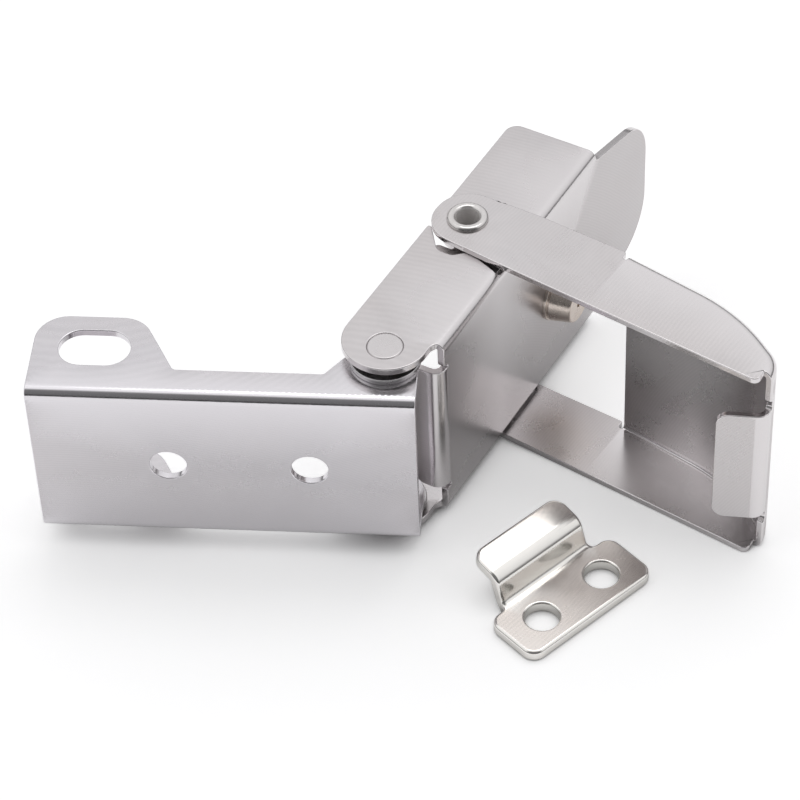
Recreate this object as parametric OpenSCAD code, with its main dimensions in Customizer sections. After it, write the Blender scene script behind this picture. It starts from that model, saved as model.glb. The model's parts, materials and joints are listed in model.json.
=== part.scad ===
// Over-centre toggle latch in bent stainless sheet: a mounting base, a long
// lever, a hook bail that swings on the lever, and a loose keeper plate.
// Both hinge axes run along Z. The origin is the middle of the mounting face.

/* [Base bracket] */
// Length of the base channel along X
base_length = 72; // [68:1:90]
// Height of the base channel along Z
base_height = 37; // [34:0.5:40]
// Depth of the base flanges, measured from the mounting face
base_flange = 7; // [6:0.5:9]
// Thickness of the base sheet
base_sheet = 1.5; // [1.2:0.1:2]
// Diameter of the two mounting holes
mount_hole = 7; // [4:0.1:8]
// X of the mounting hole nearer the padlock ears
mount_hole_x = -10.6; // [-14:0.1:-6]
// Distance between the two mounting holes
mount_pitch = 26.5; // [20:0.5:28]
// Width of the padlock slot in each ear
slot_width = 9; // [6:0.5:10]
// Length of the padlock slot in each ear
slot_length = 13.5; // [11:0.5:14]

/* [Lever] */
// Direction of the lever at rest, in degrees from +X
lever_angle = 64.6; // [40:1:120]
// Length of the lever flanges beyond the main pivot
lever_length = 65.5; // [60:0.5:66]
// Distance from the main pivot to the tip of the finger tab
tab_reach = 87.5; // [86:0.5:92]
// Thickness of the lever sheet
lever_sheet = 1.5; // [1.2:0.1:1.6]
// Gap between a base flange and the lever flange outside it
side_gap = 2; // [1.6:0.1:2.4]
// Distance along the lever from the main pivot to the bail axle
link_reach = 36; // [35.5:0.1:36.5]

/* [Hook bail] */
// Direction of the bail at rest, in degrees from +X
bail_angle = -29.6; // [-60:1:-10]
// Thickness of the bail sheet
bail_sheet = 1.3; // [1:0.1:1.5]
// Length of the bail's straight wall, from its open edge
bail_wall = 16; // [12:0.5:18]
// Length of the hook lip beyond its tight bend
lip_length = 7.5; // [5:0.5:9]
// Height of the hook lip
lip_height = 27.2; // [20:0.2:30]

/* [Keeper] */
// Length of the keeper plate
keeper_length = 31.4; // [30:0.2:36]
// Depth of the flat part of the keeper plate
keeper_depth = 12.4; // [12:0.2:16]
// Thickness of the keeper plate
keeper_sheet = 2.5; // [2:0.1:3]
// Diameter of the two keeper holes
keeper_hole = 6.6; // [4:0.1:7]
// Distance between the keeper holes
keeper_pitch = 15.3; // [14:0.1:18]
// Height of the raised lip above the keeper plate
keeper_rise = 7.2; // [6:0.2:9]
// Direction of the keeper's hole row, in degrees from +X
keeper_angle = 45.9; // [30:1:60]

/* [Pins] */
// Diameter of the main pivot pin
pin_diameter = 6.8; // [6:0.1:7]
// Outer diameter of the tubular bail axle
axle_diameter = 6; // [5.6:0.1:6.2]
// Radial clearance of a pin in the piece that turns on it
running_gap = 0.05; // [0.02:0.01:0.1]

/* [Hidden] */

$fn = 96;
over = 1;                    // how far a cutter reaches past a face
seam = 0.02;                 // overlap that joins two stretches of sheet
lap = 0.2;                   // how far a joining stretch of the bail runs into its neighbours
shy = 0.01;                  // how far it stays inside their faces
curl_shy = 0.05;             // the same for the bend between the nose and the lip

// Half heights along Z, all measured from the mid plane
base_half = base_height / 2;
lever_half = base_half + side_gap + lever_sheet;
bail_gap = 0.1;              // between a lever flange and the bail arm outside it
bail_half = lever_half + bail_gap + bail_sheet;

// Pins, and the holes they sit in
pin_r = pin_diameter / 2;
axle_r = axle_diameter / 2;
press_gap = 0.005;
neck_r = axle_r - 0.35;      // the axle is thinner where it passes through the arms

// Main pivot, in the frame of the whole object
ear_r = 6.2;
pivot_x = base_length / 2 - ear_r;
pivot_y = 11.3;
washer_r = 6.7;
washer_thickness = 1;

// Base channel
base_bend = 2;
padlock_r = 6.2;             // corner radius of a padlock ear
padlock_top = 20.2;          // height of a padlock ear above the mounting face
padlock_span = 9.8;          // between the centres of its two corners
padlock_slope = 28.4;        // how far the ear's sloping side leans from Y
slot_x = -24.4;
slot_y = 12;
pivot_ramp = 11.1;           // from the main pivot back to the foot of its ear

// Lever: x runs along the lever from the main pivot, -y is the outside of its wall
wall_y = -9.6;               // outer face of the lever wall
free_y = 9.1;                // free edges of the lever flanges
lever_bend = 1.8;
flange_y = wall_y + lever_bend;
tip_r = 2.6;                 // outer corner of each flange
heel_x = 1.73;               // round heel end of each flange
heel_y = 0.6;
heel_r = 8.05;
notch_x = 4.9;               // the wall begins here, above and below the heel tab
notch_y = -7.6;
notch_r = 0.6;               // corner relief beside the heel tab
heel_tab_x = 3.2;            // outer face of the heel tab, bent in between the ears
heel_tab_half = 15.4;
heel_tab_edge = -3.6;
heel_tab_bend = 2.6;
link_y = 2.6;                // bail axle, across the lever

// Saddles: stretches of flange bent in one step lower, which hold the bail axle
saddle_half = 8.6;           // reach of a saddle from the link towards the heel
saddle_tip = 6.3;            // and towards the tip
saddle_drop = 1.6;
saddle_rim = 2.5;            // width left along each end
saddle_top_y = 6;
saddle_inner_y = 2.6;
saddle_eye_r = 5.1;
window_r = 3.6;              // rounded ends of the opening above each saddle
window_x = 5.4;
window_y = 2.2;
window_low_y = -0.5;
window_exit = 4.4;           // where it runs out through the free edge, towards the tip
window_slope = 36.7;

// Finger tab and cone stud
tab_root = 19.5;             // half height where the tab leaves the wall
tab_half = 16.6;             // half height where its rounded end starts
tab_corner = 11;
stud_x = 48.3;
stud_z = -1.5;
stud_tail_r = 2;

// Bail: x runs along the bail from its axle, +y is the outside of its wall
bail_bend = 1.8;
bail_depth = 6;              // how far the wall's flanges reach in
arm_end_r = 6.7;
arm_near = -7.5;
arm_far = 7.9;
arm_taper = 12;              // length over which an arm widens from its round end
wall_x = 31.5;
wall_heading = -5;
sweep_r = 38;
sweep_heading = -31;
nose_flat = 3;
nose_r = 6.5;
curl_r = 2.5;
lip_heading = -153;
lip_corner = 2.6;
coin_r = 8.2;                // shallow coined ring round the axle
coin_depth = 0.15;

// Rolled rims of the axle tube
tube_bore = 2.3;
rim_r = 4;
rim_height = 0.9;

// Keeper: x runs along the hole row, y towards the raised lip, z = 0 is the plate's top
keeper_x = 65.1;
keeper_y = -10.1;
keeper_corner = 2.8;
neck_half = 11;
neck_fillet = 1.5;
lip_reach = 15.8;
riser_heading = 72;
lip_slope = 12;
foot_r = 1;                  // inside radius of the bend at the foot of the riser
brow_r = keeper_sheet + 0.8; // outside radius of the bend at its top

function polar(r, a) = [r * cos(a), r * sin(a)];

// Places children in the lever's own frame, or in the bail's
module on_lever()
  translate([pivot_x, pivot_y, 0]) rotate([0, 0, lever_angle]) children();

module on_bail()
  on_lever() translate([link_reach, link_y, 0])
    rotate([0, 0, bail_angle - lever_angle]) children();

// Both mirror images about the mid plane
module both_sides() {
  children();
  mirror([0, 0, 1]) children();
}

// A block from x = 0 to depth, rounded on its x = 0 corners
module rounded_block(depth, half, r) {
  translate([r, -half]) square([depth - r, 2 * half]);
  translate([0, r - half]) square([depth, 2 * (half - r)]);
  for (s = [-1, 1]) translate([r, s * (half - r)]) circle(r);
}

module rounded_rect(hx, hy, r) {
  square([2 * (hx - r), 2 * hy], center = true);
  square([2 * hx, 2 * (hy - r)], center = true);
  for (sx = [-1, 1], sy = [-1, 1]) translate([sx * (hx - r), sy * (hy - r)]) circle(r);
}

// Cross-section of a bent channel: its wall stands on x = 0, its flanges run to x = depth
module channel_section(depth, half, sheet, bend)
  difference() {
    rounded_block(depth, half, bend);
    translate([sheet, 0]) rounded_block(depth, half - sheet, bend - sheet);
  }

// A channel along +X from x1 to x2, open towards +Y, its wall on y = 0
module channel(x1, x2, depth, half, sheet, bend)
  translate([x1, 0, 0]) rotate([90, 0, 90])
    linear_extrude(x2 - x1) channel_section(depth, half, sheet, bend);

// A bent stretch of plain sheet standing on z = 0, from angle a1 to a2 about the centre
module sheet_bend(centre, r_in, sheet, a1, a2, height)
  translate([centre[0], centre[1], 0]) rotate([0, 0, a1])
    rotate_extrude(angle = a2 - a1) translate([r_in, 0]) square([sheet, height]);

// A flat stretch of plain sheet standing on z = 0, to the right of its heading
module sheet_flat(from, heading, length, sheet, height)
  translate([from[0], from[1], 0]) rotate([0, 0, heading])
    translate([-seam, -sheet, 0]) cube([length + 2 * seam, sheet, height]);

// ---- Base ----

// Outline of one base ear plate: padlock ear, back edge and pivot ear
module base_ear_outline() {
  right = base_length / 2;
  corner_x = [padlock_r - right, padlock_r - right + padlock_span];
  corner_y = padlock_top - padlock_r;
  slope = [corner_x[1], corner_y] + polar(padlock_r, padlock_slope);
  slope_foot = slope[0] + (slope[1] - base_flange) * tan(padlock_slope);
  lift = pivot_y - base_flange;
  ramp = norm([pivot_ramp, lift]);
  ramp_heading = atan2(lift, pivot_ramp) + asin(ear_r / ramp);
  ramp_foot = [pivot_x - pivot_ramp, base_flange];
  polygon([
    [-right, base_bend], [-right, corner_y], [corner_x[0], padlock_top],
    [corner_x[1], padlock_top], slope, [slope_foot, base_flange], ramp_foot,
    ramp_foot + polar(sqrt(ramp * ramp - ear_r * ear_r), ramp_heading),
    [pivot_x, pivot_y], [right, pivot_y], [right, base_bend]]);
  for (x = corner_x) translate([x, corner_y]) circle(padlock_r);
  translate([pivot_x, pivot_y]) circle(ear_r);
}

module slot_outline(length, width) {
  square([length - width, width], center = true);
  for (s = [-1, 1]) translate([s * (length - width) / 2, 0]) circle(width / 2);
}

module base_bracket()
  color("gainsboro") difference() {
    union() {
      channel(-base_length / 2, base_length / 2, base_flange, base_half, base_sheet, base_bend);
      both_sides() translate([0, 0, base_half - base_sheet])
        linear_extrude(base_sheet) base_ear_outline();
    }
    translate([pivot_x, pivot_y, -base_half - over])
      cylinder(r = pin_r + running_gap, h = base_height + 2 * over);
    translate([slot_x, slot_y, -base_half - over])
      linear_extrude(base_height + 2 * over) slot_outline(slot_length, slot_width);
    for (i = [0, 1]) translate([mount_hole_x + i * mount_pitch, -over, 0])
      rotate([-90, 0, 0]) cylinder(d = mount_hole, h = base_sheet + 2 * over);
  }

// A washer lying on the outer face of a pivot ear
module pivot_washer()
  translate([pivot_x, pivot_y, base_half]) difference() {
    cylinder(r = washer_r, h = washer_thickness);
    translate([0, 0, -over])
      cylinder(r = pin_r + running_gap, h = washer_thickness + 2 * over);
  }

module upper_pivot_washer()
  color("silver") pivot_washer();

module lower_pivot_washer()
  color("silver") mirror([0, 0, 1]) pivot_washer();

// ---- Lever ----

// The opening above each saddle, which runs out through the free edge
module window_outline()
  translate([link_reach, 0]) {
    translate([-saddle_half, wall_y - over])
      square([saddle_half + saddle_tip, window_low_y - wall_y + over]);
    translate([-window_x, window_y]) circle(window_r);
    translate([-window_x, wall_y]) square([window_x, window_y + window_r - wall_y]);
    intersection() {
      translate([-window_x, window_y]) rotate([0, 0, window_slope])
        square([2 * saddle_half, window_r]);
      translate([-saddle_half, window_y]) square([saddle_half, free_y]);
    }
    translate([-window_x / 2, window_y]) square([window_x / 2, free_y]);
    translate([saddle_tip - window_r, window_y]) circle(window_r);
    translate([-over, wall_y]) square([saddle_tip + over, window_y - wall_y]);
    translate([-over, wall_y]) square([window_exit + over, free_y + over - wall_y]);
  }

// Plan of one lever flange: round heel, straight free edge, rounded tip corner
module lever_flange_outline()
  difference() {
    union() {
      translate([heel_x, notch_y])
        square([lever_length - heel_x, free_y - tip_r - notch_y]);
      translate([notch_x, flange_y - seam])
        square([lever_length - notch_x, free_y - tip_r - flange_y]);
      translate([heel_x, 0]) square([lever_length - heel_x - tip_r, free_y]);
      translate([lever_length - tip_r, free_y - tip_r]) circle(tip_r);
      translate([heel_x, heel_y]) circle(heel_r);
    }
    window_outline();
  }

// Plan of a saddle: a rim at each end and an eye round the axle
module saddle_outline() {
  inner_heel = saddle_half - saddle_rim;
  inner_tip = saddle_tip - saddle_rim;
  translate([link_reach, 0]) {
    difference() {
      translate([-saddle_half, flange_y - seam])
        square([saddle_half + saddle_tip, saddle_top_y - flange_y]);
      translate([-inner_heel, saddle_inner_y])
        square([inner_heel + inner_tip, saddle_top_y]);
    }
    translate([0, link_y]) circle(saddle_eye_r);
  }
}

// Outline of the finger tab in its own plane: x along the lever, y along Z
module tab_outline() {
  cx = tab_reach - tab_corner;
  cz = tab_half - tab_corner;
  lean = atan2(tab_root - tab_half, cx - lever_length);
  touch = [cx, cz] + polar(tab_corner, 90 - lean);
  root = lever_length - 2 * lever_bend;
  polygon([
    [root, -tab_root], [root, tab_root], [lever_length, tab_root], touch, [cx, cz],
    [cx, -cz], [touch[0], -touch[1]], [lever_length, -tab_root]]);
  translate([cx - over, -cz]) square([tab_corner + over, 2 * cz]);
  for (s = [-1, 1]) translate([cx, s * cz]) circle(tab_corner);
}

// A stretch of lever wall with its two bends
module lever_wall(x1, x2, half)
  translate([0, wall_y, 0])
    channel(x1, x2, 2 * lever_bend, half, lever_sheet, lever_bend);

module lever_blank() {
  saddle_x1 = link_reach - saddle_half;
  saddle_x2 = link_reach + saddle_tip;
  lever_wall(notch_x, saddle_x1, lever_half);
  lever_wall(saddle_x1, saddle_x2, lever_half - saddle_drop);
  lever_wall(saddle_x2, lever_length, lever_half);
  both_sides() translate([0, 0, lever_half - lever_sheet])
    linear_extrude(lever_sheet) lever_flange_outline();
  both_sides() translate([0, 0, lever_half - lever_sheet - saddle_drop])
    linear_extrude(lever_sheet) saddle_outline();
  translate([0, wall_y + lever_sheet, 0]) rotate([90, 0, 0])
    linear_extrude(lever_sheet) tab_outline();
}

// Tab at the heel of the wall, bent in between the pivot ears
module heel_tab() {
  bend_x = heel_tab_x + heel_tab_bend;
  bend_y = wall_y + heel_tab_bend;
  translate([0, 0, -heel_tab_half]) {
    sheet_bend([bend_x, bend_y], heel_tab_bend - lever_sheet, lever_sheet,
      180, 270, 2 * heel_tab_half);
    translate([heel_tab_x, bend_y - seam, 0])
      cube([lever_sheet, heel_tab_edge - bend_y + seam, 2 * heel_tab_half]);
  }
}

module lever()
  color("lightgray") difference() {
    union() {
      difference() {
        lever_blank();
        // room for the heel tab's bend, with a round relief at each corner
        translate([0, wall_y - over, -heel_tab_half - notch_r])
          cube([heel_tab_x + heel_tab_bend - seam, lever_sheet + 2 * over,
                2 * (heel_tab_half + notch_r)]);
        both_sides()
          translate([heel_tab_x + heel_tab_bend, wall_y - over, heel_tab_half + notch_r])
            rotate([-90, 0, 0]) cylinder(r = notch_r, h = lever_sheet + 2 * over);
      }
      heel_tab();
    }
    translate([0, 0, -lever_half - over])
      cylinder(r = pin_r + press_gap, h = 2 * (lever_half + over));
    translate([link_reach, link_y, -lever_half - over])
      cylinder(r = axle_r + running_gap, h = 2 * (lever_half + over));
    translate([stud_x, wall_y - over, stud_z]) rotate([-90, 0, 0])
      cylinder(r = stud_tail_r + press_gap, h = lever_sheet + 2 * over);
  }

// Solid pin, held in the lever flanges and flush with them
module main_pivot_pin()
  color("darkgray") on_lever() translate([0, 0, -lever_half])
    cylinder(r = pin_r, h = 2 * lever_half);

// Turned conical stop stud, its tail riveted over inside the lever wall
module cone_stud() {
  tail_head_r = 3.2;
  tail_head = 1;
  base_r = 5.3;
  groove_r = 4.9;
  cone_r = 5.1;
  end_r = 4.1;
  length = 5.5;
  blind_r = 0.9;
  blind_depth = 1.2;
  color("rosybrown") on_lever() translate([stud_x, wall_y, stud_z])
    rotate([90, 0, 0]) rotate_extrude() polygon([
      [0, -lever_sheet - tail_head], [tail_head_r, -lever_sheet - tail_head],
      [tail_head_r, -lever_sheet], [stud_tail_r, -lever_sheet], [stud_tail_r, 0],
      [base_r, 0], [base_r, 0.7], [groove_r, 0.7], [groove_r, 1.1], [cone_r, 1.1],
      [end_r, length], [blind_r, length], [blind_r, length - blind_depth],
      [0, length - blind_depth]]);
}

// ---- Bail ----

// Corner points of the bail wall's outer face, in the order they are bent
wall_start = [wall_x, arm_far];
sweep_start = wall_start + polar(bail_wall, wall_heading);
sweep_centre = sweep_start - polar(sweep_r, wall_heading + 90);
sweep_end = sweep_centre + polar(sweep_r, sweep_heading + 90);
nose_start = sweep_end + polar(nose_flat, sweep_heading);
nose_centre = nose_start - polar(nose_r, sweep_heading + 90);
nose_end = nose_centre + [nose_r, 0];
curl_centre = nose_end - [curl_r, 0];
lip_start = curl_centre + polar(curl_r, lip_heading + 90);

// The bail's channel section, its wall facing +y, with every face set in by inset
module bail_section(inset)
  mirror([1, 0]) translate([inset, 0])
    channel_section(bail_depth, bail_half - inset, bail_sheet - 2 * inset, bail_bend - inset);

// A straight stretch of bail wall from the given point
module bail_straight(from, heading, length)
  translate([from[0], from[1], 0]) rotate([0, 0, heading])
    translate([-lap, 0, 0]) rotate([90, 0, 90])
      linear_extrude(length + 2 * lap) bail_section(shy);

// A curved stretch of bail wall, turning clockwise between two headings
module bail_curve(centre, r, heading1, heading2)
  translate([centre[0], centre[1], 0]) rotate([0, 0, heading2 + 90])
    rotate_extrude(angle = heading1 - heading2) translate([r, 0]) bail_section(0);

// Plan of one bail arm, which ends just inside the bend of the wall
module bail_arm_outline() {
  inset = bail_bend + 0.2;
  steps = 12;
  far = arm_far - 0.1;
  sweep = [for (i = [0 : steps]) sweep_centre
    + polar(sweep_r - inset, wall_heading + 90 + (sweep_heading - wall_heading) * i / steps)];
  nose = [for (i = [0 : steps]) nose_centre
    + polar(nose_r - inset, (sweep_heading + 90) * (1 - i / steps))];
  polygon(concat(
    [[0, -arm_end_r], [0, arm_end_r], [arm_taper, far], [wall_x, far],
     wall_start - [0, inset]],
    sweep, nose, [[nose_end[0] - inset, arm_near], [arm_taper, arm_near]]));
  circle(arm_end_r);
}

module lip_outline() {
  half = lip_height / 2;
  translate([0, -half]) square([lip_length - lip_corner, lip_height]);
  translate([0, lip_corner - half]) square([lip_length, lip_height - 2 * lip_corner]);
  for (s = [-1, 1])
    translate([lip_length - lip_corner, s * (half - lip_corner)]) circle(lip_corner);
}

module hook_bail()
  color("lightgray") difference() {
    union() {
      both_sides() translate([0, 0, bail_half - bail_sheet])
        linear_extrude(bail_sheet) bail_arm_outline();
      bail_straight(wall_start, wall_heading, bail_wall);
      bail_curve(sweep_centre, sweep_r, wall_heading, sweep_heading);
      bail_straight(sweep_end, sweep_heading, nose_flat);
      bail_curve(nose_centre, nose_r, sweep_heading, -90);
      // tight bend of the hook, run one degree into the pieces it joins
      translate([0, 0, -lip_height / 2])
        sheet_bend(curl_centre, curl_r - bail_sheet + curl_shy, bail_sheet - 2 * curl_shy,
          lip_heading + 89, 1, lip_height);
      // flat lip with rounded corners
      translate([lip_start[0], lip_start[1], 0]) rotate([0, 0, lip_heading])
        rotate([90, 0, 0]) linear_extrude(bail_sheet) lip_outline();
    }
    translate([0, 0, -bail_half - over])
      cylinder(r = neck_r + press_gap, h = 2 * (bail_half + over));
    both_sides() translate([0, 0, bail_half - coin_depth]) cylinder(r = coin_r, h = over);
  }

// Tubular axle: thick between the arms, thinner through them, rolled over outside
module bail_axle_tube() {
  seat = bail_half - bail_sheet;
  top = bail_half - coin_depth;
  half_section = [
    [axle_r, seat], [neck_r, seat], [neck_r, top], [rim_r, top],
    [rim_r - 0.1, top + 0.5], [rim_r - 0.75, top + rim_height], [tube_bore, top + rim_height]];
  mirrored = [for (i = [len(half_section) - 1 : -1 : 0])
    [half_section[i][0], -half_section[i][1]]];
  color("darkgray") on_bail() rotate_extrude() polygon(concat(mirrored, half_section));
}

// ---- Keeper ----

// The bent sheet before trimming, drawn with x towards the lip, y up and z along the holes
module keeper_strip() {
  foot_x = keeper_depth / 2 + 0.1;
  foot_end = [foot_x, foot_r] + polar(foot_r, riser_heading - 90);
  spare = keeper_rise - foot_end[1] - brow_r * (cos(lip_slope) - cos(riser_heading));
  run = lip_reach - foot_end[0] - brow_r * (sin(riser_heading) - sin(lip_slope));
  turn = sin(riser_heading - lip_slope);
  riser = (spare * cos(lip_slope) - run * sin(lip_slope)) / turn;
  lip = (run * sin(riser_heading) - spare * cos(riser_heading)) / turn;
  brow_start = foot_end + polar(riser, riser_heading);
  brow_centre = brow_start + polar(brow_r, riser_heading - 90);
  sheet_flat([-keeper_depth / 2, 0], 0, keeper_depth + 0.1, keeper_sheet, keeper_length);
  sheet_bend([foot_x, foot_r], foot_r, keeper_sheet, -90, riser_heading - 90, keeper_length);
  sheet_flat(foot_end, riser_heading, riser, keeper_sheet, keeper_length);
  sheet_bend(brow_centre, brow_r - keeper_sheet, keeper_sheet,
    lip_slope + 90, riser_heading + 90, keeper_length);
  sheet_flat(brow_centre + polar(brow_r, lip_slope + 90), lip_slope, lip + over,
    keeper_sheet, keeper_length);
}

// Plan of the keeper: rounded plate with a narrower lip
module keeper_plan() {
  rounded_rect(keeper_length / 2, keeper_depth / 2, keeper_corner);
  lip_mid = lip_reach / 2;
  translate([0, lip_mid]) rounded_rect(neck_half, lip_mid, keeper_corner);
  // fillets where the neck leaves the plate
  for (side = [0, 1]) mirror([side, 0])
    translate([neck_half, keeper_depth / 2]) difference() {
      translate([-seam, -seam]) square(neck_fillet + seam);
      translate([neck_fillet, neck_fillet]) circle(neck_fillet);
    }
}

module keeper_plate()
  color("linen") translate([keeper_x, keeper_y, keeper_sheet - bail_half])
    rotate([0, 0, keeper_angle]) difference() {
      intersection() {
        rotate([90, 0, 90]) translate([0, 0, -keeper_length / 2]) keeper_strip();
        translate([0, 0, -keeper_sheet - over])
          linear_extrude(keeper_rise + keeper_sheet + 2 * over) keeper_plan();
      }
      for (s = [-1, 1]) translate([s * keeper_pitch / 2, 0, -keeper_sheet - over])
        cylinder(d = keeper_hole, h = keeper_sheet + 2 * over);
    }

base_bracket();
upper_pivot_washer();
lower_pivot_washer();
on_lever() lever();
main_pivot_pin();
cone_stud();
on_bail() hook_bail();
bail_axle_tube();
keeper_plate();
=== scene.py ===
"""Looks of a bent-sheet toggle latch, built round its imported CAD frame.

Lengths in this script are millimetres in the row frame and become metres when a mesh is made.
Every bent piece is drawn as a flat blank, laid on its bent surface, then given its thickness
with rounded edges. Every turned piece is a closed profile, turned about its axis.
"""

import json
import math

import bpy
import numpy as np
from mathutils import Matrix, Vector
from mathutils.geometry import delaunay_2d_cdt


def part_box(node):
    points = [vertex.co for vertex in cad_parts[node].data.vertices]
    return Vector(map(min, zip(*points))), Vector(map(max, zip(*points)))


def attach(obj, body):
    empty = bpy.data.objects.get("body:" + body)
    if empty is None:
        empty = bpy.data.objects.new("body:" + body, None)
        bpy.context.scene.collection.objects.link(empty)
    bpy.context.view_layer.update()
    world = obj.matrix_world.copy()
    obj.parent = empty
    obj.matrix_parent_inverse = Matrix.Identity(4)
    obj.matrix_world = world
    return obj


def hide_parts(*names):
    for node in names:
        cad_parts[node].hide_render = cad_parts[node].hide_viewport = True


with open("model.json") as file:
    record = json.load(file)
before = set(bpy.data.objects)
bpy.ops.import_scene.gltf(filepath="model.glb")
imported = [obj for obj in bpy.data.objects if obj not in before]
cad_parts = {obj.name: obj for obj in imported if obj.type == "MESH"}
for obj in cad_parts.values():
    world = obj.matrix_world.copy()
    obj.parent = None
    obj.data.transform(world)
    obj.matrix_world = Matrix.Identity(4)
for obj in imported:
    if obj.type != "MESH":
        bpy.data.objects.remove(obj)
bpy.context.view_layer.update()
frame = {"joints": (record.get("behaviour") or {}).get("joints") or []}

MM = 0.001
QUARTER = math.pi / 2
STEP = 0.35  # spacing of points round an arc
FINE_STEP = 0.12  # the same on turned profiles
COS_BENT = math.cos(math.radians(3))  # neighbours whose normals differ more are on a bend


# ---------------------------------------------------------------- sizes from the frame

def box_mm(node):
    """Low and high corners of a CAD part."""
    low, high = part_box(node)
    return np.array(low) / MM, np.array(high) / MM


joints = {j["name"]: j for j in frame["joints"]}
pivot = np.array(joints["lever_pivot"]["pos_m"][:2]) / MM
link = np.array(joints["bail_pivot"]["pos_m"][:2]) / MM

base_low, base_high = box_mm("base_bracket")
keeper_low, keeper_high = box_mm("keeper_plate")
base_left, base_right = base_low[0], base_high[0]
base_half = base_high[2]
lever_half = box_mm("main_pivot_pin")[1][2]
bail_half = box_mm("hook_bail")[1][2]
tube_top = box_mm("bail_axle_tube")[1][2]

SHEET = 1.5
BAIL_SHEET = 1.3
LEVER_ANGLE = math.radians(64.6)
BAIL_ANGLE = math.radians(-29.6)
KEEPER_ANGLE = math.radians(45.9)
KEEPER_PLACE = np.array([65.1, -10.1])
KEEPER_SHEET = 2.5
PIN_R = 3.4
AXLE_R = 3.0
AXLE_NECK = AXLE_R - 0.35  # where the axle passes through the bail's arms
TUBE_BORE_R = 2.3
RUNNING_GAP = 0.05
STUD_X, STUD_Z, STUD_TAIL_R = 48.3, -1.5, 2.0


# ---------------------------------------------------------------- outlines

def unit(v):
    """The vector scaled to length 1."""
    return v / max(np.linalg.norm(v), 1e-12)


def rounded(corners, step=STEP):
    """Closed outline from corners (x, y, radius); returns its points and outward normals."""
    points, normals = [], []
    count = len(corners)
    for i, (x, y, radius) in enumerate(corners):
        here = np.array([x, y], float)
        back = unit(np.array(corners[i - 1][:2]) - here)
        ahead = unit(np.array(corners[(i + 1) % count][:2]) - here)
        n_in = np.array([-back[1], back[0]])
        n_out = np.array([ahead[1], -ahead[0]])
        half = math.acos(float(np.clip(back @ ahead, -1, 1))) / 2
        if radius <= 0 or abs(half - QUARTER) < 1e-3:
            points.append(here)
            normals.append(unit(n_in + n_out))
            continue
        centre = here + unit(back + ahead) * radius / math.sin(half)
        start = here + back * radius / math.tan(half) - centre
        turn = math.pi - 2 * half
        turn *= 1 if back[0] * ahead[1] - back[1] * ahead[0] < 0 else -1
        pieces = max(4, math.ceil(abs(turn) * radius / step))
        for k in range(pieces + 1):
            a = turn * k / pieces
            spoke = np.array([start[0] * math.cos(a) - start[1] * math.sin(a),
                              start[0] * math.sin(a) + start[1] * math.cos(a)])
            points.append(centre + spoke)
            normals.append(unit(spoke) * (1 if turn > 0 else -1))
    return np.array(points), np.array(normals)


def circle(x, y, radius, step=STEP):
    """Points round a circle, at least 24 of them."""
    pieces = max(24, math.ceil(2 * math.pi * radius / step))
    a = np.arange(pieces) * 2 * math.pi / pieces
    return np.stack([x + radius * np.cos(a), y + radius * np.sin(a)], 1)


def obround(x, y, length, width):
    """A slot with round ends, whose corners are a hair less than half its width in radius."""
    w, h = length / 2, width / 2
    end = h * 0.999
    return rounded([(x - w, y - h, end), (x + w, y - h, end),
                    (x + w, y + h, end), (x - w, y + h, end)])[0]


def mirrored(half_corners):
    """A closed outline from its corners with y >= 0, mirrored about the x axis."""
    return [(x, -y, r) for x, y, r in reversed(half_corners)] + list(half_corners)


def subdivide(points, longest):
    """Adds points so that no step is much longer than longest(point)."""
    out = []
    for a, b in zip(points, np.roll(points, -1, 0)):
        done = 0.0
        length = np.linalg.norm(b - a)
        while done < length - 1e-6:
            p = a + (b - a) * done / length
            out.append(p)
            reach = longest(p)
            left = length - done
            done += left if left < 1.4 * reach else reach
    return np.array(out)


def inside(points, loop):
    """Which points lie inside a closed loop."""
    x, y = points[:, 0][:, None], points[:, 1][:, None]
    a, b = loop, np.roll(loop, -1, 0)
    over = (a[:, 1] > y) != (b[:, 1] > y)
    run = b[:, 1] - a[:, 1]
    cross = a[:, 0] + (y - a[:, 1]) * (b[:, 0] - a[:, 0]) / np.where(run == 0, 1e-12, run)
    return (over & (x < cross)).sum(1) % 2 == 1


def clear_of(points, loops, gap):
    """The points further than gap from every loop vertex."""
    edge = np.concatenate(loops)
    keep = [np.min(np.sum((edge - p) ** 2, 1)) > gap * gap for p in points]
    return points[np.array(keep, bool)] if len(points) else points


def fill(outer, holes=(), extra=(), gap=0.55):
    """Triangulates an outline with holes; returns its points and triangles, anticlockwise."""
    loops = [outer] + list(holes)
    points = np.array(extra, float).reshape(-1, 2)
    if len(points):
        points = points[inside(points, outer)]
        for hole in holes:
            points = points[~inside(points, hole)]
        points = clear_of(points, loops, gap)
    edges, start = [], 0
    for loop in loops:
        n = len(loop)
        edges += [(start + i, start + (i + 1) % n) for i in range(n)]
        start += n
    flat = np.concatenate(loops + [points])
    made = delaunay_2d_cdt([Vector(p) for p in flat], edges, [], 0, 1e-7)
    verts = np.array([flat[origin[0]] if origin else tuple(spot)
                      for spot, origin in zip(made[0], made[3])])
    tris = np.array([f for f in made[2] if len(f) == 3])
    middle = verts[tris].mean(1)
    keep = inside(middle, outer)
    for hole in holes:
        keep &= ~inside(middle, hole)
    tris = tris[keep]
    a, b, c = (verts[tris[:, k]] for k in range(3))
    area = (b[:, 0] - a[:, 0]) * (c[:, 1] - a[:, 1]) - (b[:, 1] - a[:, 1]) * (c[:, 0] - a[:, 0])
    tris[area < 0] = tris[area < 0][:, ::-1]
    tris = tris[np.abs(area) > 1e-9]
    used, back = np.unique(tris, return_inverse=True)
    return verts[used], back.reshape(tris.shape)


def rows(x0, x1, step, ys):
    """Points in rows along x, at each y."""
    xs = np.arange(x0, x1 + step, step)
    return np.array([(x + (k % 2) * step / 2, y) for k, y in enumerate(ys) for x in xs])


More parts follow.
